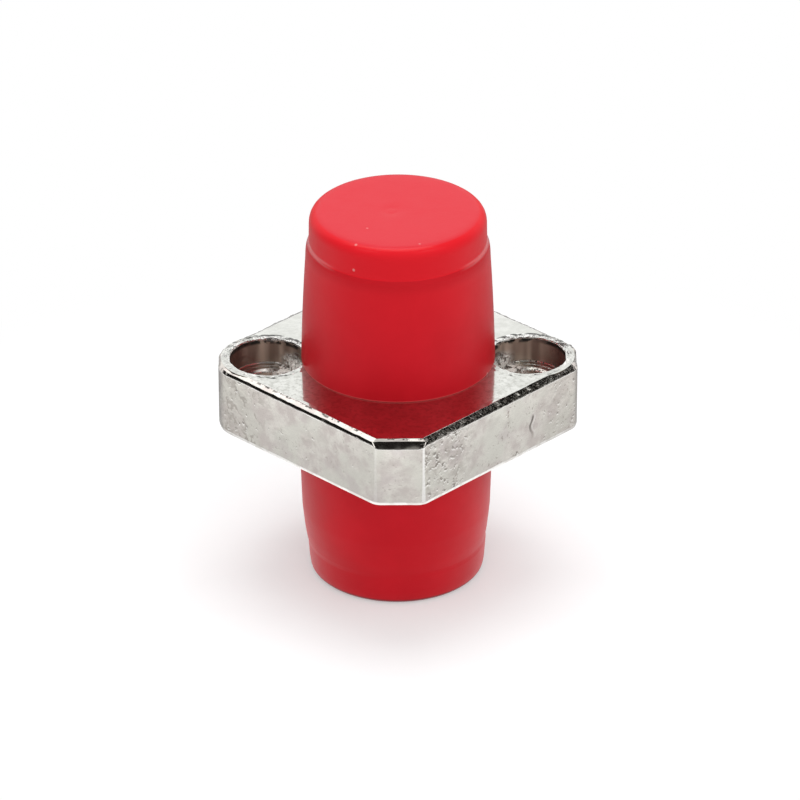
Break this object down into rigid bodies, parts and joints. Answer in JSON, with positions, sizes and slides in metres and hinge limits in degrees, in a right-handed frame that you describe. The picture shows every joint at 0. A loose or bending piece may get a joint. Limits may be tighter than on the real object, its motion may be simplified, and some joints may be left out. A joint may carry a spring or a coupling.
{
  "type": "fc fibre adapter",
  "caption": "Square-flange FC fibre adapter with threaded barrels either side, a split alignment sleeve inside and red push-on dust caps over both ports.",
  "frame": {"origin": "on the fibre axis at the middle of the flange's thickness, which is the optical mating plane", "axes": "+Z along the fibre axis towards the front port, the side with the screw head seats; X along the line of the two screw holes"},
  "size_m": [0.0174, 0.0176, 0.0196],
  "materials": {
    "plated_zinc": "nickel-plated die casting",
    "plated_brass": "nickel-plated, turned",
    "zirconia": "ground and polished",
    "red_plastic": "satin moulded"
  },
  "bodies": {
    "housing": {"housing": "plated_zinc", "front_sleeve_holder": "plated_brass", "rear_sleeve_holder": "plated_brass", "split_sleeve": "zirconia"},
    "front_cap": {"front_dust_cap": "red_plastic"},
    "rear_cap": {"rear_dust_cap": "red_plastic"}
  },
  "joints": [
    {"name": "front_cap_pull", "type": "slide", "parent": "housing", "child": "front_cap", "axis": [0, 0, 1], "range_m": [0, 0.009]},
    {"name": "rear_cap_pull", "type": "slide", "parent": "housing", "child": "rear_cap", "axis": [0, 0, -1], "range_m": [0, 0.009]}
  ]
}
